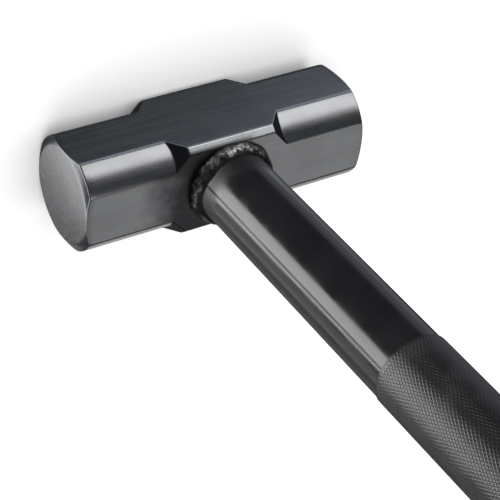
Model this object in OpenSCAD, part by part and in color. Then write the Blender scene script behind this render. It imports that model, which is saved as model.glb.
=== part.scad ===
// All-steel sledgehammer: a square head whose two ends are turned round, a tube
// handle that runs through the eye and is welded there, and a knurled grip.
// It stands on the far side of its head with the handle pointing up (+Z) and the
// head along X. The origin is the middle of the side that it stands on.

/* [Head] */
// Length of the head between its two striking faces
head_len = 158; // [110:1:230]
// Width across the flats of the square bar, both ways
head_w = 51; // [42:0.5:70]
// Width of the four flats that are left on each turned end
end_flat = 27; // [16:0.5:30]
// Length of the middle block that keeps its square corners
block_len = 48; // [44:1:70]
// Length of the sloping shoulder between the block and a turned end
shoulder_len = 7.6; // [4:0.2:12]
// Chamfer along the four long edges of the block
block_chamfer = 3; // [1.5:0.1:5]
// Width of the turned bevel round the rim of each striking face
rim_width = 4.3; // [1:0.1:6]
// How far that bevel falls back at the edge of a round end
rim_drop = 1.7; // [0.3:0.1:3]

/* [Handle] */
// Height of the whole hammer, standing on its head
overall_len = 610; // [400:5:950]
// Outside diameter of the handle tube
tube_d = 38; // [25:0.1:46]
// Wall of the handle tube
tube_wall = 3.2; // [2:0.1:5]
// Radial gap between the tube and the eye that it runs through
eye_gap = 0.15; // [0.05:0.05:0.4]
// Thickness of the disc that closes the tube at the head
plug_thick = 6; // [3:0.5:12]

/* [Welds] */
// Leg of the fillet weld out along the head
weld_leg = 4.4; // [2.5:0.1:6]
// Leg of the fillet weld up along the tube
weld_rise = 7; // [3:0.1:9]
// Depth of the groove weld round the tube on the far side of the head
groove_depth = 3; // [1.5:0.1:6]

/* [Grip] */
// Length of plain tube between the head and the knurled grip
neck_len = 153; // [90:1:220]
// Wall of the knurled sleeve
grip_wall = 0.6; // [0.6:0.1:3]
// Bevel at the two ends of the knurled sleeve
grip_bevel = 0.5; // [0.2:0.1:0.6]
// Thickness of the butt cap's flange
cap_thick = 5; // [3:0.5:10]
// Length of the butt cap's spigot inside the tube
spigot_len = 16; // [8:1:30]
// Radial gap between the spigot and the tube
spigot_gap = 0.1; // [0.05:0.05:0.3]
// Radius of the butt cap's rounded outer edge
cap_round = 2.5; // [1:0.1:3]

/* [Hidden] */
$fn = 96;
eps = 0.01;

half_w = head_w / 2;
half_len = head_len / 2;
head_mid_z = half_w;
block_half = block_len / 2;

// Radius of the turned ends, which leaves flats of the chosen width
end_r = sqrt(pow(half_w, 2) + pow(end_flat / 2, 2));

// Radius of the flat part of a striking face
face_r = end_r - rim_width;

// Distance from the axis, along a diagonal of the square, of the block's
// chamfer and of the corner where a flat meets the round end
block_diag = (head_w - block_chamfer) / sqrt(2);
end_diag = (head_w + end_flat) / 2 / sqrt(2);
shoulder_slope = shoulder_len / (block_diag - end_diag);
shoulder_apex = block_half + block_diag * shoulder_slope;

tube_r = tube_d / 2;
tube_bore_r = tube_r - tube_wall;
eye_r = tube_r + eye_gap;

// Steel left beside the eye, which limits both welds where the head is thin
eye_wall = half_w - eye_r;
groove = min(groove_depth, eye_wall / 2);
weld_out = min(weld_leg, eye_wall - 0.3);

// The fillet weld's full, rounded section: how far out along both legs its belly
// stands, and how thick its toe is, as shares of the legs
weld_belly = 0.58;
weld_toe = 0.08;

grip_r = tube_r + grip_wall;
grip_start_z = head_w + neck_len;
tube_top_z = overall_len - cap_thick;

// Rotates its children, drawn along Z, to lie along the head
module along_head() {
    translate([0, 0, head_mid_z]) rotate([0, 90, 0]) children();
}

// The square bar that the head is made from
module square_bar() {
    translate([-half_len, -half_w, 0]) cube([head_len, head_w, head_w]);
}

// The turned form of the two ends
module turned_round() {
    along_head() cylinder(h = head_len, r = end_r, center = true);
}

// What the lathe leaves at the two striking faces: a cone round each rim, which
// cuts deepest into the round ends and only just touches the flats
module turned_rims() {
    past = 1;
    back = half_len - rim_drop * (rim_width + past) / rim_width;
    along_head()
        rotate_extrude()
            polygon([
                [0, -half_len], [face_r, -half_len], [end_r + past, -back], [head_w, -back],
                [head_w, back], [end_r + past, back], [face_r, half_len], [0, half_len]
            ]);
}

// A long wedge-ended slab set across one diagonal of the square: its faces are
// two of the block's chamfers and its slopes are four of the shoulders
module shoulder_slab(turn) {
    translate([0, 0, head_mid_z])
        rotate([turn, 0, 0])
            linear_extrude(2 * head_w, center = true)
                polygon([
                    [-shoulder_apex, 0], [-block_half, -block_diag], [block_half, -block_diag],
                    [shoulder_apex, 0], [block_half, block_diag], [-block_half, block_diag]
                ]);
}

// The head before its eye is drilled
module head_blank() {
    intersection() {
        square_bar();
        turned_rims();
        union() {
            turned_round();
            intersection() {
                shoulder_slab(45);
                shoulder_slab(-45);
            }
        }
    }
}

module hammer_head() {
    color("dimgray")
        difference() {
            head_blank();
            // the eye, opened out on the far side for the groove weld
            rotate_extrude()
                polygon([
                    [0, -1], [eye_r + groove + 1, -1], [eye_r, groove],
                    [eye_r, head_w + 1], [0, head_w + 1]
                ]);
        }
}

module handle_tube() {
    color([0.09, 0.09, 0.10])
        difference() {
            cylinder(h = tube_top_z, r = tube_r);
            translate([0, 0, -1]) cylinder(h = tube_top_z + 2, r = tube_bore_r);
        }
}

// Fillet weld on the handle side: it stands on the flat, and runs a little way
// down the block's chamfers where it is wider than the flat
module handle_weld() {
    toe_r = tube_r + weld_out;
    skirt_z = head_w - block_chamfer;
    color("gray")
        difference() {
            rotate_extrude()
                polygon([
                    [tube_r, skirt_z], [toe_r, skirt_z], [toe_r, head_w + weld_rise * weld_toe],
                    [tube_r + weld_out * weld_belly, head_w + weld_rise * weld_belly],
                    [tube_r, head_w + weld_rise]
                ]);
            head_blank();
        }
}

// Groove weld on the far side, ground flush with the head
module far_side_weld() {
    color("gray")
        rotate_extrude()
            polygon([
                [tube_r, 0], [eye_r + groove, 0], [eye_r, groove], [tube_r, groove]
            ]);
}

// Disc that closes the tube at the head, flush with the far side
module eye_plug() {
    color("gray")
        cylinder(h = plug_thick, r = tube_bore_r);
}

// Knurled sleeve over the upper part of the tube
module knurled_grip() {
    color([0.13, 0.13, 0.14])
        rotate_extrude()
            polygon([
                [tube_r, grip_start_z], [grip_r - grip_bevel, grip_start_z],
                [grip_r, grip_start_z + grip_bevel], [grip_r, tube_top_z - grip_bevel],
                [grip_r - grip_bevel, tube_top_z], [tube_r, tube_top_z]
            ]);
}

// Cap on the free end: a rounded flange with a spigot inside the tube
module butt_cap() {
    flange_r = grip_r - grip_bevel;
    color([0.13, 0.13, 0.14])
        union() {
            translate([0, 0, tube_top_z - spigot_len])
                cylinder(h = spigot_len + eps, r = tube_bore_r - spigot_gap);
            translate([0, 0, tube_top_z])
                rotate_extrude()
                    union() {
                        square([flange_r, cap_thick - cap_round]);
                        square([flange_r - cap_round, cap_thick]);
                        translate([flange_r - cap_round, cap_thick - cap_round])
                            intersection() {
                                circle(r = cap_round);
                                square(cap_round);
                            }
                    }
        }
}

hammer_head();
handle_tube();
handle_weld();
far_side_weld();
eye_plug();
knurled_grip();
butt_cap();
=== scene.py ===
"""Looks of an all-steel sledgehammer standing on its head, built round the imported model."""

import math

import bpy
import numpy as np
from bpy.props import FloatProperty, FloatVectorProperty, IntProperty, PointerProperty
from mathutils import Matrix, Vector


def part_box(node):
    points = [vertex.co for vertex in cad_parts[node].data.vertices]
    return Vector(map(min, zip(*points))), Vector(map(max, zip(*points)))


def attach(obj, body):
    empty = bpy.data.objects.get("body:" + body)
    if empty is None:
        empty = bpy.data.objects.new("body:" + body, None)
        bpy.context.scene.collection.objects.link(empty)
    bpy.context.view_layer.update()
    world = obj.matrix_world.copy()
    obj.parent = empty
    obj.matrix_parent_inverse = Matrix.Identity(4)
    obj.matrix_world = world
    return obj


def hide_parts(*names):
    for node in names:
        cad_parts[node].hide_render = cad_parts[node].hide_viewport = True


bl_info = {
    "name": "Steel Sledgehammer",
    "version": (1, 0, 0),
    "blender": (4, 5, 0),
    "location": "View3D > Sidebar > Sledgehammer",
    "description": "Builds the head, welds, tube handle, knurled grip and studio of a sledgehammer",
    "category": "Object",
}

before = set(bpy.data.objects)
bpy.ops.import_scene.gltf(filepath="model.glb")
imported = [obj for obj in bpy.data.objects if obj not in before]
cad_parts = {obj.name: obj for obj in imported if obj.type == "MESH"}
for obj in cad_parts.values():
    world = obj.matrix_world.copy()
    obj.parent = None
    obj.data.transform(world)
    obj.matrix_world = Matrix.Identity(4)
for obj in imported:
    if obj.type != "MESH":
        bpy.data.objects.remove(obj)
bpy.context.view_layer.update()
MM = 0.001
TAU = 2 * math.pi

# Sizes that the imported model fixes, in metres
HEAD_LOW, HEAD_HIGH = (np.array(corner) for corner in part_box("hammer_head"))
HEAD_LENGTH = float(HEAD_HIGH[0] - HEAD_LOW[0])
HEAD_WIDTH = float(HEAD_HIGH[1] - HEAD_LOW[1])
HEAD_TOP = float(HEAD_HIGH[2])
TUBE_RADIUS = float(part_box("handle_tube")[1][0])
TUBE_TOP = float(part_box("handle_tube")[1][2])
PLUG_RADIUS = float(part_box("eye_plug")[1][0])
WELD_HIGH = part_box("handle_weld")[1]
GROOVE_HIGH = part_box("far_side_weld")[1]
GRIP_RADIUS = float(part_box("knurled_grip")[1][0])
GRIP_BOTTOM = float(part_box("knurled_grip")[0][2])
GRIP_TOP = float(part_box("knurled_grip")[1][2])
CAP_LOW, CAP_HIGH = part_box("butt_cap")


# --- Settings ---------------------------------------------------------------


def length(name, description, default):
    """A length property in metres."""
    return FloatProperty(name=name, description=description, default=default, unit="LENGTH", precision=5)


def colour(name, description, default):
    """A colour property in linear red, green and blue."""
    return FloatVectorProperty(
        name=name, description=description, default=default, subtype="COLOR", size=3, min=0, max=1
    )


def share(name, description, default):
    """A property from 0 to 1."""
    return FloatProperty(name=name, description=description, default=default, subtype="FACTOR", min=0, max=1)


class HeadSettings(bpy.types.PropertyGroup):
    """Shape and finish of the hammer head."""

    end_flat: length("End flats", "Width of the four flats left on each turned end", 27 * MM)
    block_length: length("Block", "Length of the middle block with its square corners", 48 * MM)
    shoulder_length: length("Shoulder", "Length of the slope from the block to a turned end", 7.6 * MM)
    block_chamfer: length("Block chamfer", "Chamfer along the block's long edges", 3 * MM)
    edge_round: length("Edge rounding", "Radius that the long edges are broken to", 0.5 * MM)
    rim_round: length("Rim rounding", "Radius that the rim of each striking face is broken to", 0.6 * MM)
    rim_width: length("Rim bevel", "Width of the turned bevel round each striking face", 4.3 * MM)
    rim_drop: length("Rim drop", "How far that bevel falls back at the edge of a round end", 1.7 * MM)
    crown: length("Crown", "How much lower a striking face is at its bevel than in its middle", 0.5 * MM)
    eye_gap: length("Eye gap", "Gap between the handle tube and the eye", 0.15 * MM)
    steel: colour("Steel", "Colour of the ground steel", (0.465, 0.47, 0.48))
    # The worn colour is also painted over the block's chamfers as a highlight
    worn: colour("Worn edge", "Colour of the steel where edges are rubbed bright", (0.68, 0.69, 0.70))
    # The forging scale colour also paints the handle's shade on the flat beside the weld
    scale: colour("Forging scale", "Colour of the shoulders' dark scale and the stain", (0.04, 0.04, 0.045))
    roughness: share("Roughness", "Roughness of the ground steel", 0.26)


class WeldSettings(bpy.types.PropertyGroup):
    """Shape and finish of the welds."""

    ripples: IntProperty(name="Ripples", description="Ripples once round the tube", default=25, min=6)
    ripple_height: length("Ripple height", "How far a ripple stands out of the fillet", 0.45 * MM)
    bulge: length("Bulge", "How far the fillet's middle stands out of a straight slope", 0.7 * MM)
    metal: colour("Weld metal", "Colour of the weld's crests", (0.75, 0.75, 0.73))
    scale: colour("Weld scale", "Colour of the scale in the weld's valleys", (0.07, 0.068, 0.06))
    roughness: share("Roughness", "Roughness of the weld's crests", 0.24)


class HandleSettings(bpy.types.PropertyGroup):
    """Finish of the handle tube."""

    paint: colour("Paint", "Colour of the black paint", (0.006, 0.006, 0.007))
    roughness: share("Roughness", "Roughness of the black paint", 0.17)
    seam_angle: FloatProperty(
        name="Seam", description="Angle round the handle of the tube's seam", default=math.radians(157),
        subtype="ANGLE",
    )
    seam_width: length("Seam width", "Width of the line that the tube's seam shows as", 0.9 * MM)


class GripSettings(bpy.types.PropertyGroup):
    """Shape and finish of the knurled grip and the butt cap."""

    diamonds: IntProperty(name="Diamonds", description="Diamonds once round the grip", default=70, min=12)
    knurl_angle: FloatProperty(
        name="Knurl angle", description="Angle of the knurl's grooves to the handle's axis",
        default=math.radians(30), subtype="ANGLE",
    )
    depth: length("Knurl depth", "Depth of the knurl's grooves", 0.08 * MM)
    flat_top: share("Flat tops", "How far a diamond's flat top reaches towards the grooves' crossings", 0.5)
    end_band: length("End band", "Plain band at each end of the knurl", 0.9 * MM)
    cap_round: length("Cap rounding", "Radius of the butt cap's edge", 2.5 * MM)
    paint: colour("Paint", "Colour of the black finish", (0.008, 0.008, 0.009))
    roughness: share("Roughness", "Roughness of the black finish", 0.3)


class StageSettings(bpy.types.PropertyGroup):
    """Camera, floor and lights."""

    azimuth: FloatProperty(
        name="Azimuth", description="Where the camera stands round the hammer", default=math.radians(216.67),
        subtype="ANGLE",
    )
    elevation: FloatProperty(
        name="Elevation", description="How high the camera stands", default=math.radians(40.32),
        subtype="ANGLE",
    )
    roll: FloatProperty(
        name="Roll", description="Turn of the camera about its own axis", default=math.radians(136.9),
        subtype="ANGLE",
    )
    distance: length("Distance", "From the camera to the aim point", 0.8154)
    aim_across: length("Aim across", "Aim point's place on the line of the head", -0.0194)
    aim_up: length("Aim up", "Aim point's height", 0.1013)
    lens: FloatProperty(name="Lens", description="Focal length in millimetres", default=126.3)
    floor: colour("Floor", "Colour of the floor", (0.92, 0.92, 0.92))


# --- Mesh helpers -----------------------------------------------------------


def ring_rows(rows, closed_section=False):
    """Faces of a grid of rings, as index arrays of quads and triangles.

    rows is how many rings there are and the number of points on each. Each ring closes on
    itself. With closed_section the last ring joins the first, as on a doughnut. Otherwise two
    more points, stored after the rings, close the first ring and the last one with triangles.
    """
    count, around = rows
    here = np.arange(around)
    after = (here + 1) % around
    ring = np.arange(count if closed_section else count - 1)[:, None]
    following = (ring + 1) % count
    start, end = ring * around, following * around
    quads = np.stack([start + here, start + after, end + after, end + here], -1).reshape(-1, 4)
    if closed_section:
        return quads, np.zeros((0, 3), int)
    first, last = count * around, count * around + 1
    low = np.stack([np.full(around, first), after, here], -1)
    high_ring = (count - 1) * around
    high = np.stack([np.full(around, last), high_ring + here, high_ring + after], -1)
    return quads, np.vstack([low, high])


def make_mesh(name, points, quads, triangles=None, smooth=True):
    """A new object at the origin from whole arrays of points and faces."""
    triangles = np.zeros((0, 3), int) if triangles is None else triangles
    mesh = bpy.data.meshes.new(name)
    corners = np.concatenate([quads.ravel(), triangles.ravel()]).astype(np.int32)
    sizes = np.concatenate([np.full(len(quads), 4), np.full(len(triangles), 3)]).astype(np.int32)
    starts = np.concatenate([[0], np.cumsum(sizes)[:-1]]).astype(np.int32)
    mesh.vertices.add(len(points))
    mesh.vertices.foreach_set("co", np.asarray(points, np.float32).ravel())
    mesh.loops.add(len(corners))
    mesh.loops.foreach_set("vertex_index", corners)
    mesh.polygons.add(len(sizes))
    mesh.polygons.foreach_set("loop_start", starts)
    mesh.polygons.foreach_set("loop_total", sizes)
    mesh.polygons.foreach_set("use_smooth", np.full(len(sizes), smooth))
    mesh.update(calc_edges=True)
    mesh.validate()
    piece = bpy.data.objects.new(name, mesh)
    bpy.context.scene.collection.objects.link(piece)
    return piece


def add_mask(piece, name, values):
    """Stores one number for each vertex, for the materials to read by name."""
    mask = piece.data.attributes.new(name, "FLOAT", "POINT")
    mask.data.foreach_set("value", np.asarray(values, np.float32).ravel())


def sharpen(piece, degrees):
    """Edges that turn more than this angle are shaded as sharp."""
    piece.data.set_sharp_from_angle(angle=math.radians(degrees))


def revolve(name, profile, segments, closed_section=False):
    """A surface of revolution about Z: the profile's radius and height carried round a circle."""
    profile = np.asarray(profile, float)
    angle = np.linspace(0, TAU, segments, endpoint=False)
    radius, height = profile[:, 0][:, None], profile[:, 1][:, None]
    rings = np.broadcast_arrays(radius * np.cos(angle), radius * np.sin(angle), height)
    points = np.stack(rings, -1).reshape(-1, 3)
    if not closed_section:
        points = np.vstack([points, [0, 0, profile[0, 1]], [0, 0, profile[-1, 1]]])
    quads, triangles = ring_rows((len(profile), segments), closed_section)
    return make_mesh(name, points, quads, triangles)


def arc(centre, radius, start, end, steps=6):
    """Points of a circular arc between two angles in degrees, as radius and height."""
    turn = np.radians(np.linspace(start, end, steps + 1))
    return [(centre[0] + radius * np.cos(t), centre[1] + radius * np.sin(t)) for t in turn]


def smooth_min(a, b, width):
    """The smaller of two values, with the corner between them rounded over width."""
    mix = np.clip(0.5 + 0.5 * (b - a) / width, 0, 1)
    return b + (a - b) * mix - width * mix * (1 - mix)


def smooth_max(a, b, width):
    """The larger of two values, with the corner between them rounded over width."""
    return -smooth_min(-a, -b, width)


def place(piece, slot, *replaced):
    """Rides a finished piece on the hammer's one body and hides the CAD nodes that it replaces. The slot is
    not used.
    """
    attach(piece, "root")
    if replaced:
        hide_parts(*replaced)
    return piece


def paint_piece(piece, material):
    """Gives a piece its one material."""
    piece.data.materials.clear()
    piece.data.materials.append(material)


# --- Node helpers -----------------------------------------------------------


class Nodes:
    """Short calls for building a node tree."""

    def __init__(self, tree):
        self.tree = tree
        tree.nodes.clear()

    def add(self, kind, inputs=None, **settings):
        """Adds a node, sets its properties, and sets or links its inputs."""
        node = self.tree.nodes.new(kind)
        for key, value in settings.items():
            setattr(node, key, value)
        for key, value in (inputs or {}).items():
            self.feed(node.inputs[key], value)
        return node

    def feed(self, socket, value):
        """Links an output socket, or sets a plain value."""
        if isinstance(value, bpy.types.NodeSocket):
            self.tree.links.new(value, socket)
        else:
            socket.default_value = value

    def math(self, operation, a, b=0.0, clamp=False):
        """The result of a Math node."""
        node = self.add("ShaderNodeMath", {0: a, 1: b}, operation=operation, use_clamp=clamp)
        return node.outputs[0]

    def spread(self, value, low, high, to_low=0.0, to_high=1.0):
        """A value mapped smoothly from one range to another."""
        node = self.add(
            "ShaderNodeMapRange",
            {"Value": value, "From Min": low, "From Max": high, "To Min": to_low, "To Max": to_high},
            interpolation_type="SMOOTHSTEP",
        )
        return node.outputs["Result"]

    def blend(self, amount, a, b):
        """A colour between a and b."""
        node = self.add("ShaderNodeMix", data_type="RGBA")
        self.feed(node.inputs["Factor"], amount)
        self.feed(node.inputs[6], a if isinstance(a, bpy.types.NodeSocket) else (*a, 1))
        self.feed(node.inputs[7], b if isinstance(b, bpy.types.NodeSocket) else (*b, 1))
        return node.outputs[2]

    def noise(self, place, scale, detail=3.0, roughness=0.5):
        """The value of a Noise texture."""
        node = self.add(
            "ShaderNodeTexNoise", {"Vector": place, "Scale": scale, "Detail": detail, "Roughness": roughness}
        )
        return node.outputs["Fac"]

    def stretched(self, place, scale):
        """A place with its three coordinates scaled apart."""
        return self.add("ShaderNodeMapping", {"Vector": place, "Scale": scale}).outputs[0]


def new_group(name, inputs, outputs):
    """An empty shader group with named number inputs and outputs, and its helper."""
    tree = bpy.data.node_groups.new(name, "ShaderNodeTree")
    for label, default in inputs.items():
        kind = "NodeSocketVector" if default is None else "NodeSocketFloat"
        socket = tree.interface.new_socket(label, in_out="INPUT", socket_type=kind)
        if default is not None:
            socket.default_value = default
    for label in outputs:
        tree.interface.new_socket(label, in_out="OUTPUT", socket_type="NodeSocketFloat")
    nodes = Nodes(tree)
    return tree, nodes, nodes.add("NodeGroupInput"), nodes.add("NodeGroupOutput")


def handling_group():
    """Faint wear of a handled metal: Mottle drifts slowly and Scratches are short fine lines."""
    name = "handling_marks"
    if name in bpy.data.node_groups:
        return bpy.data.node_groups[name]
    tree, nodes, given, result = new_group(
        name, {"Place": None, "Mottle Scale": 60.0, "Scratch Scale": 700.0}, ("Mottle", "Scratches", "Grain")
    )
    place_in = given.outputs["Place"]
    mottle = nodes.noise(place_in, given.outputs["Mottle Scale"], 4, 0.55)
    nodes.feed(result.inputs["Mottle"], nodes.spread(mottle, 0.3, 0.7))
    lines = []
    for turn in (0.35, 1.9):
        turned = nodes.add("ShaderNodeMapping", {"Vector": place_in, "Rotation": (turn, 0.4, turn)})
        long = nodes.stretched(turned.outputs[0], (0.06, 1.0, 1.0))
        streak = nodes.noise(long, given.outputs["Scratch Scale"], 2, 0.6)
        lines.append(nodes.spread(streak, 0.66, 0.74))
    nodes.feed(result.inputs["Scratches"], nodes.math("MAXIMUM", lines[0], lines[1]))
    nodes.feed(result.inputs["Grain"], nodes.noise(place_in, 2600.0, 2, 0.6))
    return tree


def new_material(name):
    """A material with an empty tree, its helper, its Principled BSDF and object coordinates."""
    material = bpy.data.materials.new(name)
    material.use_nodes = True
    nodes = Nodes(material.node_tree)
    shader = nodes.add("ShaderNodeBsdfPrincipled")
    output = nodes.add("ShaderNodeOutputMaterial")
    nodes.feed(output.inputs["Surface"], shader.outputs[0])
    where = nodes.add("ShaderNodeTexCoord").outputs["Object"]
    return material, nodes, shader, where


def marks(nodes, where, mottle_scale=60.0, scratch_scale=700.0):
    """Places the handling marks group in a material."""
    node = nodes.add("ShaderNodeGroup", node_tree=handling_group())
    nodes.feed(node.inputs["Place"], where)
    nodes.feed(node.inputs["Mottle Scale"], mottle_scale)
    nodes.feed(node.inputs["Scratch Scale"], scratch_scale)
    return node


def bump(nodes, shader, height, strength, distance):
    """Feeds a height into the shader's normal."""
    node = nodes.add("ShaderNodeBump", {"Height": height, "Strength": strength, "Distance": distance})
    nodes.feed(shader.inputs["Normal"], node.outputs[0])


# --- Head -------------------------------------------------------------------


def head_stations(settings):
    """Where the rings stand along half of the head, from a striking face to the middle.

    Returns each ring's x before the face is turned, how far its section is drawn in from the skin,
    how much it is shrunk towards the axis, and what share of the turned face's fall it follows:
    all of it on the face and its rim, and less and less along the round end.
    """
    half, rim = HEAD_LENGTH / 2, settings.rim_round
    block, slope, margin = settings.block_length / 2, settings.shoulder_length, 1.6 * MM
    shrink = np.concatenate([np.linspace(0.12, 0.78, 7), np.linspace(0.82, 0.98, 9)])
    turn = np.linspace(0, math.pi / 2, 6)
    end = block + slope + margin
    plain = np.linspace(1, 0, 15)[1:]
    slope_x, block_x = np.linspace(end, block - margin, 42), np.linspace(block - margin, 0, 10)
    rest = np.concatenate([slope_x[1:], block_x[1:-1]])
    body = np.zeros(len(rest))
    x = np.concatenate([np.full(len(shrink), half), half - rim * (1 - np.cos(turn)),
                        end + (half - rim - end) * plain, rest])
    inset = np.concatenate([np.full(len(shrink), rim), rim * (1 - np.sin(turn)), 0 * plain, body])
    factor = np.concatenate([shrink, np.ones(len(turn) + len(plain) + len(rest))])
    follow = np.concatenate([np.ones(len(shrink) + len(turn)), plain, body])
    return x, inset, factor, follow


def turned_fall(radius, settings):
    """How far a striking face falls back at a distance from its axis.

    It falls with the square of the distance, and past the flat part it also falls along the bevel.
    """
    end_radius = math.hypot(HEAD_WIDTH / 2, settings.end_flat / 2)
    flat_part = end_radius - settings.rim_width
    past = np.clip((radius - flat_part) / settings.rim_width, 0, None)
    return settings.crown * (radius / flat_part) ** 2 + settings.rim_drop * past**1.25


def head_angles(flat_half):
    """Angles round the section, one row for each station.

    Each eighth of the turn is two runs: over half a flat, and from the flat's edge to the
    diagonal. The points crowd towards the flat's edge, which they follow along the head.
    """
    edge = np.arctan2(flat_half, HEAD_WIDTH / 2)[:, None]
    step = np.linspace(0, 1, 21)[None, :-1]
    towards = 0.35 * step + 0.65 * np.sin(step * math.pi / 2)
    away = np.linspace(0, 1, 19)[None, :-1]
    leaving = 0.4 * away + 0.6 * (1 - np.cos(away * math.pi / 2))
    eighth = np.hstack([edge * towards, edge + (math.pi / 4 - edge) * leaving])
    diagonal = np.full((len(flat_half), 1), math.pi / 4)
    mirrored = math.pi / 2 - np.hstack([eighth[:, 1:], diagonal])[:, ::-1]
    quarter = np.hstack([eighth, mirrored])
    return np.hstack([quarter + turn * math.pi / 2 for turn in range(4)])


def head_skin(settings):
    """The head's outer skin, as points and masks. The edge mask is 1 on rubbed edges, and on the
    block's chamfers, which it paints bright as a highlight; the shoulder mask is 1 on the shoulders.

    Round the X axis, the radius is the smaller of the square bar's and the larger of the turned
    round's and the shoulder slab's, each corner rounded. A slab's distance along the diagonal
    falls in a straight line from the block's chamfer to the end of the shoulder. The rings near a
    striking face then lean back by the turned face's fall.
    """
    half_width = HEAD_WIDTH / 2
    end_half = settings.end_flat / 2
    block_flat = half_width - settings.block_chamfer
    block, slope = settings.block_length / 2, settings.shoulder_length
    end_radius = math.hypot(half_width, end_half)
    x, inset, factor, follow = head_stations(settings)
    down = np.clip((x - block) / slope, 0, 1)
    angle = head_angles(block_flat + (end_half - block_flat) * down)
    x, inset, factor, follow = x[:, None], inset[:, None], factor[:, None], follow[:, None]

    high, low = (half_width + block_flat) / math.sqrt(2), (half_width + end_half) / math.sqrt(2)
    straight = high - (x - block) * (high - low) / slope
    slab = smooth_min(np.full_like(x, high), straight, settings.edge_round)
    from_diagonal = np.abs((angle % (math.pi / 2)) - math.pi / 4)
    square = (half_width - inset) / np.cos(math.pi / 4 - from_diagonal)
    corner = smooth_max(end_radius - inset, (slab - inset) / np.cos(from_diagonal), 0.7 * MM)
    radius = smooth_min(square, corner, settings.edge_round)
    body = factor == 1
    edge = np.clip((np.minimum(square, corner) - radius) / (settings.edge_round / 4), 0, 1) * body
    slanted = (corner < square) & (slab / np.cos(from_diagonal) > end_radius)
    shoulder = slanted & (x > block + 0.3 * MM)
    # The block's chamfers join the edge mask whole, so that they are painted bright as a highlight
    edge = np.maximum(edge, slanted & (x < block))

    rim_row = int(np.argmax(body[:, 0]))
    x = x - follow * turned_fall(np.where(body, radius[rim_row], radius * factor), settings)
    radius = radius * factor
    middle = len(x)
    half_grids = (radius, angle, edge, shoulder * 1.0)
    whole = [np.vstack([grid, grid[:1] * 0, grid[::-1]]) for grid in half_grids]
    radius, angle, edge, shoulder = whole
    for grid in whole:
        grid[middle] = grid[middle - 1]
    x = np.vstack([x, x[:1] * 0, -x[::-1]])
    points = np.stack([x, radius * np.cos(angle), half_width + radius * np.sin(angle)], -1)
    return points, {"edge": edge, "shoulder": shoulder}


def cut_eye(head, settings):
    """Drills the eye through the head, opened out on the far side for the groove weld."""
    eye = TUBE_RADIUS + settings.eye_gap
    wide, depth = float(GROOVE_HIGH[0]), float(GROOVE_HIGH[2])
    past = 2 * MM
    profile = [(wide + past, -past), (wide, 0), (eye, depth), (eye, HEAD_TOP + past)]
    drill = revolve("eye_drill", profile, segments=128)
    cut = head.modifiers.new("eye", "BOOLEAN")
    cut.operation, cut.solver, cut.object = "DIFFERENCE", "EXACT", drill
    evaluated = head.evaluated_get(bpy.context.evaluated_depsgraph_get())
    finished = bpy.data.meshes.new_from_object(evaluated)
    head.modifiers.clear()
    head.data = finished
    bpy.data.objects.remove(drill)


def head_steel(settings):
    """Ground steel with faint lengthwise grinding lines, bright along edges rubbed by wear and painted
    bright over the block's chamfers as a highlight, with dark scale on the shoulders and painted
    shade of the handle on the flat to one side of the weld."""
    material, nodes, shader, where = new_material("head_steel")
    wear = marks(nodes, where, 45.0, 500.0)
    edge = nodes.add("ShaderNodeAttribute", attribute_name="edge").outputs["Fac"]
    shoulder = nodes.add("ShaderNodeAttribute", attribute_name="shoulder").outputs["Fac"]
    tooling = nodes.noise(nodes.stretched(where, (0.06, 1.0, 1.0)), 420.0, 3, 0.5)

    apart = nodes.add("ShaderNodeSeparateXYZ", {0: where})
    # Painted shade: a dark patch on the flat round the handle, mostly left of the weld, standing in for the
    # handle's shadow and reflection
    wobble = nodes.spread(nodes.noise(where, 70.0, 3, 0.6), 0.3, 0.7, -4 * MM, 4 * MM)
    along = nodes.math("ADD", apart.outputs[0], wobble)
    left = nodes.spread(along, -53 * MM, -25 * MM)
    right = nodes.spread(along, 2 * MM, 16 * MM, 1.0, 0.0)
    on_top = nodes.spread(apart.outputs[2], HEAD_TOP - 2 * MM, HEAD_TOP - 0.3 * MM)
    painted_handle_shade = nodes.math("MULTIPLY", nodes.math("MULTIPLY", left, right), on_top)

    patchy = nodes.spread(wear.outputs["Mottle"], 0.0, 0.7, 0.35, 1.0)
    # On rubbed edges this is wear; on the block's chamfers it is a painted highlight
    rubbed = nodes.math("MULTIPLY", edge, patchy, clamp=True)
    shade = nodes.spread(wear.outputs["Mottle"], 0.0, 1.0, 0.0, 0.28)
    steel = nodes.blend(shade, tuple(settings.steel), tuple(0.7 * c for c in settings.steel))
    steel = nodes.blend(rubbed, steel, tuple(settings.worn))
    # The painted shade and the shoulders' scale both darken the steel towards the scale colour
    painted_shade_share, scaled = nodes.math("MULTIPLY", painted_handle_shade, 0.9), nodes.math("MULTIPLY", shoulder, 0.85)
    dark = nodes.math("MAXIMUM", painted_shade_share, scaled)
    nodes.feed(shader.inputs["Base Color"], nodes.blend(dark, steel, tuple(settings.scale)))
    shader.inputs["Metallic"].default_value = 1.0
    rough = nodes.spread(tooling, 0.2, 0.8, settings.roughness - 0.03, settings.roughness + 0.03)
    nodes.feed(shader.inputs["Roughness"], nodes.math("ADD", rough, nodes.math("MULTIPLY", dark, 0.1)))
    from_middle = nodes.math("ABSOLUTE", apart.outputs[0])
    long_side = nodes.spread(from_middle, HEAD_LENGTH / 2 - 4 * MM, HEAD_LENGTH / 2 - 2 * MM, 1.0, 0.0)
    height = nodes.math("SUBTRACT", tooling, nodes.math("MULTIPLY", wear.outputs["Scratches"], 0.08))
    bump(nodes, shader, nodes.math("MULTIPLY", height, long_side), 0.06, 0.05 * MM)
    return material


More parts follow.
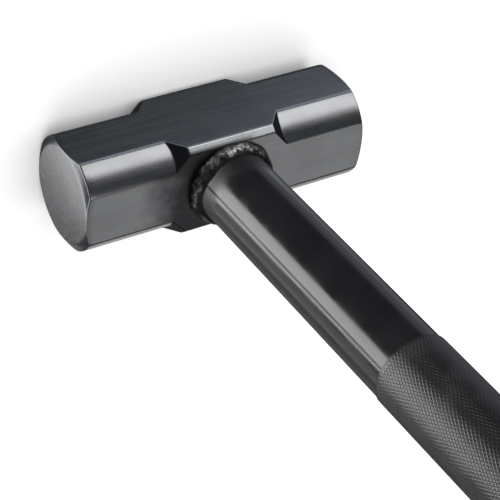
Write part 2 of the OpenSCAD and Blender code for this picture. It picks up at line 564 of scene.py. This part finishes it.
class SLEDGE_OT_head(bpy.types.Operator):
    """Build the head: a square bar with turned ends, shoulders and a drilled eye"""

    bl_idname = "sledge.head"
    bl_label = "Hammer Head"

    def execute(self, context):
        settings = context.scene.sledge_head
        points, masks = head_skin(settings)
        rows = points.shape[:2]
        axis = HEAD_WIDTH / 2
        tips = np.array([[HEAD_LENGTH / 2, 0, axis], [-HEAD_LENGTH / 2, 0, axis]])
        quads, triangles = ring_rows(rows)
        head = make_mesh("head", np.vstack([points.reshape(-1, 3), tips]), quads[:, ::-1], triangles[:, ::-1])
        for mask, values in masks.items():
            add_mask(head, mask, np.append(values.ravel(), [0, 0]))
        cut_eye(head, settings)
        sharpen(head, 50)
        paint_piece(head, head_steel(settings))
        place(head, "head_steel", "hammer_head")
        return {"FINISHED"}


# --- Welds ------------------------------------------------------------------


def lumps(rows, columns, cells_across, cells_around, seed):
    """Rounded lumps from 0 to 1 on a grid that closes on itself round the bead.

    Random numbers stand on a coarse grid, and the values between them follow a smooth step.
    """
    coarse = np.random.default_rng(seed).random((cells_across + 1, cells_around))
    down = np.linspace(0, cells_across, rows, endpoint=False)[:, None]
    along = np.arange(columns)[None, :] * cells_around / columns
    low, left = down.astype(int), along.astype(int)
    part_down, part_along = down - low, along - left
    ease_down = part_down**2 * (3 - 2 * part_down)
    ease_along = part_along**2 * (3 - 2 * part_along)
    right = (left + 1) % cells_around
    upper = coarse[low, left] * (1 - ease_along) + coarse[low, right] * ease_along
    lower = coarse[low + 1, left] * (1 - ease_along) + coarse[low + 1, right] * ease_along
    return upper * (1 - ease_down) + lower * ease_down


def weld_surface(settings):
    """The fillet weld: a bead of overlapping ripples carried round the tube.

    Across the bead, a point goes from the toe on the head to the top of the bead on the tube, and
    stands out of that line by a half sine. Round the bead, each ripple is a half circle in section
    that is bent back at both edges of the bead. Ripple length, ripple size and the bead's width
    drift with sums of slow sines, and lumps of two sizes roughen the bead.
    """
    around, across = 720, 25
    turn = np.linspace(0, TAU, around, endpoint=False)[None, :]
    over = np.linspace(0, 1, across)[:, None]
    drift = 0.5 * np.sin(3 * turn + 0.8) + 0.35 * np.sin(7 * turn + 2.1) + 0.3 * np.sin(11 * turn + 0.4)
    phase = settings.ripples * turn / TAU + 0.6 * drift + 1.1 * (over - 0.5) ** 2
    ripple = np.sqrt(np.clip(1 - (2 * (phase % 1) - 1) ** 2, 0, 1))
    lump = 0.6 * lumps(across, around, 3, 44, 5) + 0.4 * lumps(across, around, 6, 96, 8)
    size = 1 + 0.12 * drift
    lift = settings.ripple_height * (0.55 * ripple * size + 1.5 * lump)

    leg, rise = float(WELD_HIGH[0]) - TUBE_RADIUS, float(WELD_HIGH[2]) - HEAD_TOP
    toe_radius = TUBE_RADIUS + leg * 0.9 * size + lift[:1] * 0.5
    top_height = HEAD_TOP + rise * 0.92 * size + lift[-1:] * 0.5
    sunk = 0.15 * MM
    radius = toe_radius + (TUBE_RADIUS - sunk - toe_radius) * over
    height = HEAD_TOP + (top_height - HEAD_TOP) * over
    out = (settings.bulge + lift) * np.sin(math.pi * over)
    radius, height = radius + out * 0.75, height + out * 0.66
    block_flat = HEAD_WIDTH / 2 - bpy.context.scene.sledge_head.block_chamfer
    past_flat = np.clip(np.abs(radius * np.sin(turn)) - block_flat, 0, None)
    height = height - (past_flat + sunk) * (1 - over)
    inner = np.full_like(turn, TUBE_RADIUS - sunk)
    radius = np.concatenate([radius[:1], radius, inner])
    height = np.concatenate([height[:1] - 2 * sunk, height, height[:1] - 2 * sunk])
    points = np.stack([radius * np.cos(turn), radius * np.sin(turn), height], -1)
    flat = np.zeros_like(turn)
    # The crest mask falls to nothing at the toe on the head and at the tube, so the bead is darker along both
    # edges
    high = np.clip(0.35 * ripple + 0.9 * lump, 0, 1) * np.sin(math.pi * over**0.7)
    crest = np.concatenate([flat, high, flat])
    return points, crest


def weld_metal(settings):
    """Weld bead: bright on its crests, with dark scale in its valleys, and darker along both edges."""
    material, nodes, shader, where = new_material("weld_metal")
    wear = marks(nodes, where, 260.0, 900.0)
    crest = nodes.add("ShaderNodeAttribute", attribute_name="crest").outputs["Fac"]
    spatter = nodes.noise(where, 520.0, 3, 0.6)
    clean = nodes.spread(wear.outputs["Mottle"], 0.1, 0.7, 0.25, 1.0)
    bright = nodes.math("MULTIPLY", nodes.spread(crest, 0.35, 0.85), clean)
    mixed = nodes.blend(bright, tuple(settings.scale), tuple(settings.metal))
    nodes.feed(shader.inputs["Base Color"], mixed)
    shader.inputs["Metallic"].default_value = 1.0
    nodes.feed(shader.inputs["Roughness"], nodes.spread(bright, 0, 1, 0.5, settings.roughness))
    height = nodes.math("ADD", spatter, nodes.math("MULTIPLY", wear.outputs["Grain"], 0.15))
    bump(nodes, shader, height, 0.8, 0.6 * MM)
    return material


def ground_steel():
    """Steel ground flush: straight grinding lines across the far weld and the plug."""
    material, nodes, shader, where = new_material("ground_weld")
    wear = marks(nodes, where, 120.0, 600.0)
    lines = nodes.noise(nodes.stretched(where, (0.03, 1.0, 0.5)), 1500.0, 3, 0.6)
    colour_here = nodes.blend(wear.outputs["Mottle"], (0.36, 0.36, 0.37), (0.22, 0.22, 0.23))
    nodes.feed(shader.inputs["Base Color"], colour_here)
    shader.inputs["Metallic"].default_value = 1.0
    nodes.feed(shader.inputs["Roughness"], nodes.spread(lines, 0.2, 0.8, 0.28, 0.5))
    bump(nodes, shader, lines, 0.3, 0.06 * MM)
    return material


class SLEDGE_OT_welds(bpy.types.Operator):
    """Build the rippled handle weld and finish the ground far side"""

    bl_idname = "sledge.welds"
    bl_label = "Welds and Plug"

    def execute(self, context):
        settings = context.scene.sledge_weld
        points, crest = weld_surface(settings)
        quads, _ = ring_rows(points.shape[:2], closed_section=True)
        weld = make_mesh("weld_bead", points.reshape(-1, 3), quads)
        add_mask(weld, "crest", crest)
        paint_piece(weld, weld_metal(settings))
        place(weld, "weld_metal", "handle_weld")
        ground = ground_steel()
        for node in ("far_side_weld", "eye_plug"):
            paint_piece(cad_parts[node], ground)
        return {"FINISHED"}


# --- Handle -----------------------------------------------------------------


def black_paint(name, paint, roughness, mottle_scale):
    """Smooth black paint over steel, with faint handling marks.

    Returns the material with its nodes, and the colour and roughness that a finish adds to.
    """
    material, nodes, shader, where = new_material(name)
    wear = marks(nodes, where, mottle_scale, 420.0)
    base = nodes.blend(
        nodes.math("MULTIPLY", wear.outputs["Mottle"], 0.5), tuple(paint), tuple(1.8 * c for c in paint)
    )
    rough = nodes.spread(wear.outputs["Mottle"], 0, 1, roughness - 0.03, roughness + 0.05)
    return material, nodes, shader, where, wear, base, rough


def tube_paint(settings):
    """Black paint with the tube's seam as a thin dull line, and dulled by heat next to the weld."""
    material, nodes, shader, where, wear, base, rough = black_paint(
        "handle_black", settings.paint, settings.roughness, 40.0
    )
    seam_turn = nodes.add("ShaderNodeMapping", {"Vector": where, "Rotation": (0, 0, -settings.seam_angle)})
    apart = nodes.add("ShaderNodeSeparateXYZ", {0: seam_turn.outputs[0]})
    sideways = nodes.math("ABSOLUTE", apart.outputs[1])
    near = nodes.spread(sideways, settings.seam_width * 0.25, settings.seam_width, 1.0, 0.0)
    seam = nodes.math("MULTIPLY", near, nodes.math("GREATER_THAN", apart.outputs[0], 0.0))
    nodes.feed(shader.inputs["Base Color"], base)
    uneven = nodes.spread(nodes.noise(where, 120.0, 3, 0.6), 0.3, 0.7, -3 * MM, 3 * MM)
    above = nodes.math("ADD", apart.outputs[2], uneven)
    burnt = nodes.spread(above, HEAD_TOP + 6 * MM, HEAD_TOP + 24 * MM, 1.0, 0.0)
    dull = nodes.math("ADD", nodes.math("MULTIPLY", seam, 0.35), nodes.math("MULTIPLY", burnt, 0.4))
    nodes.feed(shader.inputs["Roughness"], nodes.math("ADD", rough, dull))
    grain = nodes.math("MULTIPLY", wear.outputs["Grain"], 0.12)
    height = nodes.math("SUBTRACT", grain, nodes.math("MULTIPLY", seam, 1.0))
    height = nodes.math("SUBTRACT", height, nodes.math("MULTIPLY", wear.outputs["Scratches"], 0.12))
    bump(nodes, shader, height, 0.5, 0.12 * MM)
    return material


def tube_profile():
    """The tube's wall as a closed section, with its ends just broken."""
    broken = 0.3 * MM
    inner, outer, top = PLUG_RADIUS, TUBE_RADIUS, TUBE_TOP
    heights = np.linspace(broken, top - broken, 40)
    wall_out = [(outer, z) for z in heights]
    wall_in = [(inner, z) for z in (top - broken, broken)]
    low_end = [(inner + broken, 0), (outer - broken, 0)]
    high_end = [(outer - broken, top), (inner + broken, top)]
    return [*low_end, *wall_out, *high_end, *wall_in]


class SLEDGE_OT_handle(bpy.types.Operator):
    """Build the handle tube"""

    bl_idname = "sledge.handle"
    bl_label = "Handle Tube"

    def execute(self, context):
        tube = revolve("tube", tube_profile(), segments=256, closed_section=True)
        sharpen(tube, 35)
        paint_piece(tube, tube_paint(context.scene.sledge_handle))
        place(tube, "handle_black", "handle_tube")
        return {"FINISHED"}


# --- Grip -------------------------------------------------------------------


def knurl_surface(settings):
    """The knurled sleeve's outside, as points, triangles and a mask that is 1 on the diamonds.

    Two families of V grooves run at the knurl angle to the axis, and cross at every other node of
    a grid laid round the sleeve. Each node between the crossings is a diamond's middle. A diamond
    is a flat top, whose four corners stand part of the way from its middle to the crossings beside,
    above and below it, and four walls that fall from the top to the grooves.
    """
    columns = 2 * settings.diamonds
    column_width = TAU * GRIP_RADIUS / columns
    knurl_length = GRIP_TOP - GRIP_BOTTOM - 2 * settings.end_band
    rows = 2 * int(round(knurl_length * math.tan(settings.knurl_angle) / column_width / 2))
    column, row = np.meshgrid(np.arange(columns), np.arange(rows + 1))

    def spot(column_place, row_place, radius):
        """Points on a cylinder at grid places."""
        turn = TAU * column_place / columns
        height = GRIP_BOTTOM + settings.end_band + knurl_length * row_place / rows
        return np.stack([radius * np.cos(turn), radius * np.sin(turn), height], -1)

    grooves = spot(column, row, GRIP_RADIUS - settings.depth).reshape(-1, 3)
    middle = ((column + row) % 2 == 0) & (row > 0) & (row < rows)
    at_column, at_row = column[middle][:, None], row[middle][:, None]
    beside, upward = np.array([[1, 0, -1, 0], [0, 1, 0, -1]])
    reach = settings.flat_top
    tops = spot(at_column + reach * beside, at_row + reach * upward, GRIP_RADIUS).reshape(-1, 3)

    crossing = (at_row + upward) * columns + (at_column + beside) % columns
    corner = len(grooves) + 4 * np.arange(len(at_column))[:, None] + np.arange(4)
    next_crossing, next_corner = np.roll(crossing, -1, 1), np.roll(corner, -1, 1)
    even = np.arange(0, columns, 2)
    before, after = (even - 1) % columns, (even + 1) % columns
    last = rows * columns
    triangles = np.concatenate([
        np.stack([crossing, next_crossing, next_corner], -1).reshape(-1, 3),
        np.stack([crossing, next_corner, corner], -1).reshape(-1, 3),
        corner[:, [0, 1, 2]],
        corner[:, [0, 2, 3]],
        np.stack([before, even, even + columns], -1),
        np.stack([even, after, even + columns], -1),
        np.stack([last + before, last + even - columns, last + even], -1),
        np.stack([last + even - columns, last + after, last + even], -1),
    ])
    mask = np.concatenate([np.zeros(len(grooves)), np.ones(len(tops))])
    return np.vstack([grooves, tops]), triangles, mask, columns, last


def sleeve(settings):
    """The whole sleeve: the knurl, a plain band and a rounded lip at each end, and the bore.

    The bands, lips and bore are rings with the knurl's own number of points, carried from the
    knurl's top edge over the top, down the bore and round the bottom to its low edge.
    """
    points, triangles, mask, columns, last = knurl_surface(settings)
    lip, bore = 0.3 * MM, TUBE_RADIUS
    band = GRIP_RADIUS - settings.depth * 0.5
    rings = np.array([
        (band, GRIP_TOP - settings.end_band + settings.depth), (band, GRIP_TOP - lip), (band - lip, GRIP_TOP),
        (bore, GRIP_TOP), (bore, GRIP_BOTTOM), (band - lip, GRIP_BOTTOM), (band, GRIP_BOTTOM + lip),
        (band, GRIP_BOTTOM + settings.end_band - settings.depth),
    ])
    turn = TAU * np.arange(columns) / columns
    radius, height = rings[:, :1], rings[:, 1:]
    circles = np.broadcast_arrays(radius * np.cos(turn), radius * np.sin(turn), height)
    extra = np.stack(circles, -1).reshape(-1, 3)
    starts = np.concatenate([[last], len(points) + columns * np.arange(len(rings)), [0]])
    here = np.arange(columns)
    after = (here + 1) % columns
    low, high = starts[:-1, None], starts[1:, None]
    quads = np.stack([low + here, low + after, high + after, high + here], -1).reshape(-1, 4)

    every = np.vstack([points, extra])
    used, compact = np.unique(np.concatenate([quads.ravel(), triangles.ravel()]), return_inverse=True)
    quads, triangles = compact[: quads.size].reshape(-1, 4), compact[quads.size :].reshape(-1, 3)
    grip = make_mesh("grip_sleeve", every[used], quads, triangles, smooth=False)
    add_mask(grip, "tip", np.concatenate([mask, np.zeros(len(extra))])[used])
    return grip


def grip_paint(settings):
    """Black finish on the knurl: dull in the grooves, rubbed smoother on the diamonds' tips."""
    material, nodes, shader, _, wear, base, rough = black_paint(
        "grip_black", settings.paint, settings.roughness, 55.0
    )
    tip = nodes.add("ShaderNodeAttribute", attribute_name="tip").outputs["Fac"]
    on_top, patchy = nodes.spread(tip, 0.6, 1.0), nodes.spread(wear.outputs["Mottle"], 0.2, 1.0)
    rubbed = nodes.math("MULTIPLY", on_top, patchy)
    worn = nodes.blend(nodes.math("MULTIPLY", rubbed, 0.35), base, (0.05, 0.05, 0.052))
    nodes.feed(shader.inputs["Base Color"], worn)
    smoother = nodes.math("SUBTRACT", rough, nodes.math("MULTIPLY", rubbed, 0.06))
    nodes.feed(shader.inputs["Roughness"], smoother)
    bump(nodes, shader, wear.outputs["Grain"], 0.25, 0.08 * MM)
    return material


def cap_paint(settings):
    """The same black finish on the plain butt cap."""
    material, nodes, shader, _, wear, base, rough = black_paint(
        "cap_black", settings.paint, settings.roughness, 55.0
    )
    nodes.feed(shader.inputs["Base Color"], base)
    nodes.feed(shader.inputs["Roughness"], rough)
    scratches = nodes.math("MULTIPLY", wear.outputs["Scratches"], 0.8)
    height = nodes.math("SUBTRACT", wear.outputs["Grain"], scratches)
    bump(nodes, shader, height, 0.3, 0.1 * MM)
    return material


def cap_profile(settings):
    """Half section of the butt cap: spigot, flange and rounded, slightly crowned end."""
    spigot_gap = 0.1 * MM
    spigot = PLUG_RADIUS - spigot_gap
    bottom, seat, top = float(CAP_LOW[2]), TUBE_TOP, float(CAP_HIGH[2])
    flange, rounding, lead = float(CAP_HIGH[0]), settings.cap_round, 0.8 * MM
    edge = arc((flange - rounding, top - rounding), rounding, 0, 84, 10)
    return [(spigot - lead, bottom), (spigot, bottom + lead), (spigot, seat), (flange - 0.2 * MM, seat),
            (flange, seat + 0.2 * MM), *edge, ((flange - rounding) * 0.5, top - 0.01 * MM)]


class SLEDGE_OT_grip(bpy.types.Operator):
    """Build the knurled grip and the butt cap"""

    bl_idname = "sledge.grip"
    bl_label = "Grip and Cap"

    def execute(self, context):
        settings = context.scene.sledge_grip
        grip = sleeve(settings)
        paint_piece(grip, grip_paint(settings))
        place(grip, "grip_black", "knurled_grip")
        cap = revolve("end_cap", cap_profile(settings), segments=160)
        sharpen(cap, 35)
        paint_piece(cap, cap_paint(settings))
        place(cap, "grip_black", "butt_cap")
        return {"FINISHED"}


# --- Stage ------------------------------------------------------------------


def direction(azimuth, elevation):
    """Unit vector from the hammer towards an azimuth and elevation in degrees.

    Azimuth 0 is in front, on the -Y side, and 90 is on the +X side.
    """
    a, e = math.radians(azimuth), math.radians(elevation)
    return Vector((math.sin(a) * math.cos(e), -math.cos(a) * math.cos(e), math.sin(e)))


def panel(name, aim, towards, distance, size, brightness, tint=(1, 1, 1), only=None, shine=True):
    """A soft panel light that faces the aim point.

    The panel's size is its width and height, and its brightness is what it shows as in a
    mirror. With only, it lights just those pieces, and nothing but those pieces shades it.
    Without shine, its reflection doesn't show.
    """
    lamp = bpy.data.lights.new(name, "AREA")
    lamp.shape = "RECTANGLE"
    lamp.size, lamp.size_y = size
    lamp.energy = brightness * size[0] * size[1] * math.pi
    lamp.color = tint
    holder = bpy.data.objects.new(name, lamp)
    holder.location = aim + towards * distance
    holder.rotation_euler = towards.to_track_quat("Z", "Y").to_euler()
    holder.visible_glossy = shine
    holder.visible_camera = False
    if only:
        lit = bpy.data.collections.new(name)
        for piece in only:
            lit.objects.link(piece)
        holder.light_linking.receiver_collection = lit
        holder.light_linking.blocker_collection = lit
    bpy.context.scene.collection.objects.link(holder)
    return holder


def pale_floor(settings):
    """A wide pale floor, left out of reflections so that the panels below it can show in them."""
    edge = np.array([[-1, -1], [1, -1], [1, 1], [-1, 1]]) * 30.0
    floor = make_mesh("floor", np.column_stack([edge, np.zeros(4)]), np.array([[0, 1, 2, 3]]), smooth=False)
    material, nodes, shader, where = new_material("floor")
    grain = nodes.noise(where, 3.0, 2)
    pale = tuple(settings.floor)
    duller = tuple(0.99 * c for c in pale)
    nodes.feed(shader.inputs["Base Color"], nodes.blend(nodes.spread(grain, 0.3, 0.7), pale, duller))
    shader.inputs["Roughness"].default_value = 0.9
    shader.inputs["Specular IOR Level"].default_value = 0.1
    paint_piece(floor, material)
    floor.visible_glossy = False
    floor.visible_shadow = False


def surroundings():
    """A dim grey room for reflections, which the camera and the matt floor see as pale."""
    world = bpy.data.worlds.new("studio")
    bpy.context.scene.world = world
    world.use_nodes = True
    nodes = Nodes(world.node_tree)
    path = nodes.add("ShaderNodeLightPath")
    dim = nodes.add("ShaderNodeBackground", {"Color": (0.85, 0.93, 1.0, 1), "Strength": 0.05})
    pale = nodes.add("ShaderNodeBackground", {"Color": (1, 1, 1, 1), "Strength": 1.2})
    seen_pale = nodes.math("MAXIMUM", path.outputs["Is Camera Ray"], path.outputs["Is Diffuse Ray"])
    rooms = {0: seen_pale, 1: dim.outputs[0], 2: pale.outputs[0]}
    both = nodes.add("ShaderNodeMixShader", rooms)
    nodes.feed(nodes.add("ShaderNodeOutputWorld").inputs[0], both.outputs[0])


# Each panel's name, azimuth and elevation in degrees, distance, width and height, brightness and tint
WHITE = (1, 1, 1)
STEEL_PANELS = (
    ("back_panel", (150, 18.5), 1.3, (1.1, 0.7), 1.38, WHITE),
    ("back_low_panel", (147, -26), 1.3, (1.2, 0.62), 0.38, (0.8, 0.86, 1.0)),
    ("front_panel", (37, 40), 1.6, (0.9, 0.9), 0.37, WHITE),
    ("front_low_panel", (31, -22), 1.6, (0.8, 0.6), 0.6, WHITE),
    ("left_low_panel", (-68, -35), 1.4, (1.07, 0.9), 0.95, WHITE),
    ("rim_panel", (-3, -38), 1.5, (0.9, 1.0), 0.2, WHITE),
    ("far_low_panel", (-130, -22), 1.5, (1.0, 0.9), 0.5, WHITE),
    ("near_left_panel", (-40, 30), 1.5, (1.0, 0.9), 0.5, WHITE),
    ("top_panel", (0, 90), 1.6, (1.2, 1.2), 0.35, WHITE),
)
BLACK_PANELS = (
    ("handle_front_line", (45, -12), 1.3, (0.5, 0.4), 2.0, WHITE),
    ("handle_back_line", (-160, -12), 1.3, (0.5, 0.4), 2.0, WHITE),
    ("handle_band", (-97, -40), 1.2, (0.78, 1.1), 6.5, WHITE),
    ("handle_side", (-52, -40), 1.2, (0.55, 1.1), 0.8, (1.0, 0.98, 0.92)),
    ("handle_edge", (-17, -40), 1.2, (1.0, 1.1), 0.21, (1.0, 0.98, 0.92)),
    ("handle_far_side", (100, -40), 1.2, (0.9, 1.0), 0.4, (0.85, 0.88, 1.0)),
)


def lights():
    """Panels whose reflections shape the steel and the black paint, and one that lights the floor."""
    middle, neck = Vector((0, 0, HEAD_TOP / 2)), Vector((0, 0, 0.15))
    steel = [bpy.data.objects[name] for name in ("head", "weld_bead", "far_side_weld", "eye_plug")]
    black = [bpy.data.objects[name] for name in ("tube", "grip_sleeve", "end_cap")]
    for aim, lit, rows in ((middle, steel, STEEL_PANELS), (neck, black, BLACK_PANELS)):
        for name, towards, distance, size, brightness, tint in rows:
            panel(name, aim, direction(*towards), distance, size, brightness, tint, lit)
    panel("floor_light", middle, direction(200, 75), 2.6, (4.0, 4.0), 0.4, shine=False)


def camera(settings):
    """A long lens at the viewing angle, rolled so that the handle runs down to the right."""
    lens = bpy.data.cameras.new("camera")
    lens.lens, lens.sensor_width = settings.lens, 36.0
    lens.clip_start, lens.clip_end = 0.05, 100
    holder = bpy.data.objects.new("camera", lens)
    back = direction(math.degrees(settings.azimuth), math.degrees(settings.elevation))
    aim = Vector((settings.aim_across, 0, settings.aim_up))
    upright = back.to_track_quat("Z", "Y").to_matrix()
    turned = upright @ Matrix.Rotation(settings.roll, 3, "Z")
    holder.matrix_world = Matrix.Translation(aim + back * settings.distance) @ turned.to_4x4()
    bpy.context.scene.collection.objects.link(holder)
    bpy.context.scene.camera = holder


class SLEDGE_OT_stage(bpy.types.Operator):
    """Set up the floor, the lights and the camera"""

    bl_idname = "sledge.stage"
    bl_label = "Studio"

    def execute(self, context):
        settings = context.scene.sledge_stage
        camera(settings)
        pale_floor(settings)
        surroundings()
        lights()
        context.scene.view_settings.view_transform = "Standard"
        return {"FINISHED"}


# --- Panel and registration -------------------------------------------------

STEPS = (
    (SLEDGE_OT_head, "sledge_head", HeadSettings),
    (SLEDGE_OT_welds, "sledge_weld", WeldSettings),
    (SLEDGE_OT_handle, "sledge_handle", HandleSettings),
    (SLEDGE_OT_grip, "sledge_grip", GripSettings),
    (SLEDGE_OT_stage, "sledge_stage", StageSettings),
)


class SLEDGE_PT_panel(bpy.types.Panel):
    """Lists the hammer's pieces and their settings"""

    bl_idname = "SLEDGE_PT_panel"
    bl_label = "Sledgehammer"
    bl_space_type = "VIEW_3D"
    bl_region_type = "UI"
    bl_category = "Sledgehammer"

    def draw(self, context):
        for operator, holder, _ in STEPS:
            box = self.layout.box()
            box.operator(operator.bl_idname)
            settings = getattr(context.scene, holder)
            for key in settings.__annotations__:
                box.prop(settings, key)


def register():
    for operator, holder, settings in STEPS:
        bpy.utils.register_class(settings)
        bpy.utils.register_class(operator)
        setattr(bpy.types.Scene, holder, PointerProperty(type=settings))
    bpy.utils.register_class(SLEDGE_PT_panel)


def unregister():
    bpy.utils.unregister_class(SLEDGE_PT_panel)
    for operator, holder, settings in reversed(STEPS):
        delattr(bpy.types.Scene, holder)
        bpy.utils.unregister_class(operator)
        bpy.utils.unregister_class(settings)


def main():
    """Builds the hammer and its studio."""
    register()
    bpy.ops.sledge.head()
    bpy.ops.sledge.welds()
    bpy.ops.sledge.handle()
    bpy.ops.sledge.grip()
    bpy.ops.sledge.stage()


if __name__ == "__main__":
    main()
